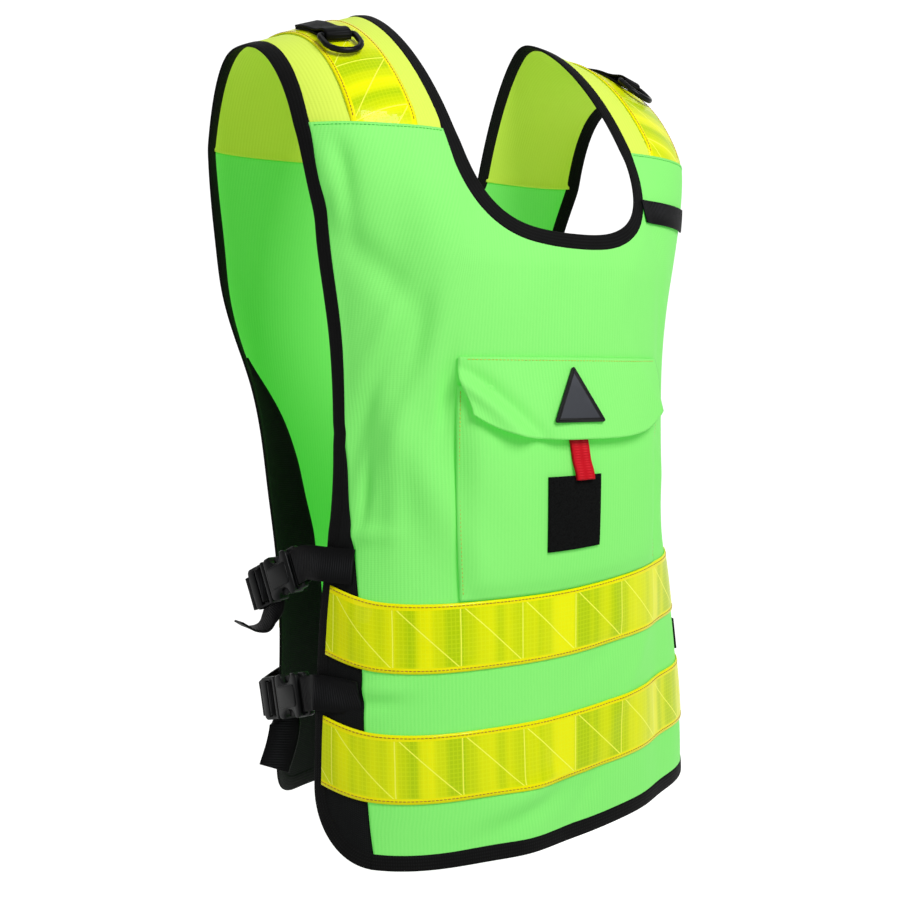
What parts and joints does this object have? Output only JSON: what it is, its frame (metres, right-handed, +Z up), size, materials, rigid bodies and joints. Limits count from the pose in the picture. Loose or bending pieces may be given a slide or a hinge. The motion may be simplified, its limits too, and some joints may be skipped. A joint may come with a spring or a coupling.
{
  "type": "training bib",
  "caption": "Sleeveless high-visibility bib worn over the shoulders, with reflective tapes, a flapped belly pocket, shoulder D-rings and buckled side straps.",
  "frame": {"origin": "on the shoulder line, midway between the shoulders, where the bib sits on its wearer", "axes": "+Z up, -Y the way the wearer faces, +X the wearer's left"},
  "size_m": [0.3932, 0.2697, 0.649],
  "materials": {
    "green_cloth": "fine ribbed fluorescent knit",
    "yellow_cloth": "fine ribbed fluorescent knit",
    "black_cloth": "matt woven cloth",
    "black_binding": "folded ribbed tape",
    "reflective_tape": "prismatic, glossy",
    "black_webbing": "ribbed webbing",
    "black_plastic": "satin moulded",
    "badge_rubber": "soft moulded, matt",
    "red_webbing": "ribbed webbing"
  },
  "bodies": {
    "bib": {"front_panel": "green_cloth", "back_panel": "green_cloth", "pocket_bag": "green_cloth", "pocket_flap": "green_cloth", "shoulder_yoke_right": "yellow_cloth", "shoulder_yoke_left": "yellow_cloth", "front_side_panel_right": "black_cloth", "front_side_panel_left": "black_cloth", "back_side_panel_right": "black_cloth", "back_side_panel_left": "black_cloth", "hook_patch": "black_cloth", "edge_binding_right": "black_binding", "edge_binding_left": "black_binding", "front_hem_binding": "black_binding", "back_hem_binding": "black_binding", "neck_binding": "black_binding", "front_tape_upper": "reflective_tape", "front_tape_lower": "reflective_tape", "back_tape_upper": "reflective_tape", "back_tape_lower": "reflective_tape", "shoulder_tape_right": "reflective_tape", "shoulder_tape_left": "reflective_tape", "chest_strip": "black_webbing", "d_ring_keeper_right": "black_webbing", "d_ring_keeper_left": "black_webbing", "front_strap_upper_right": "black_webbing", "front_strap_upper_left": "black_webbing", "front_strap_lower_right": "black_webbing", "front_strap_lower_left": "black_webbing", "back_strap_upper_right": "black_webbing", "back_strap_upper_left": "black_webbing", "back_strap_lower_right": "black_webbing", "back_strap_lower_left": "black_webbing", "strap_tail_upper_right": "black_webbing", "strap_tail_upper_left": "black_webbing", "strap_tail_lower_right": "black_webbing", "strap_tail_lower_left": "black_webbing", "buckle_socket_upper_right": "black_plastic", "buckle_socket_upper_left": "black_plastic", "buckle_socket_lower_right": "black_plastic", "buckle_socket_lower_left": "black_plastic", "buckle_plug_upper_right": "black_plastic", "buckle_plug_upper_left": "black_plastic", "buckle_plug_lower_right": "black_plastic", "buckle_plug_lower_left": "black_plastic", "flap_badge": "badge_rubber", "pull_tab": "red_webbing"},
    "right_ring": {"d_ring_right": "black_plastic"},
    "left_ring": {"d_ring_left": "black_plastic"}
  },
  "joints": [
    {"name": "right_ring_swing", "type": "hinge", "parent": "bib", "child": "right_ring", "pos_m": [-0.14772, -0.06756, -0.01765], "axis": [-0.9701, 0.179, -0.1642], "range_deg": [0, 150]},
    {"name": "left_ring_swing", "type": "hinge", "parent": "bib", "child": "left_ring", "pos_m": [0.14772, -0.06756, -0.01765], "axis": [-0.9701, -0.179, 0.1642], "range_deg": [0, 150]}
  ]
}
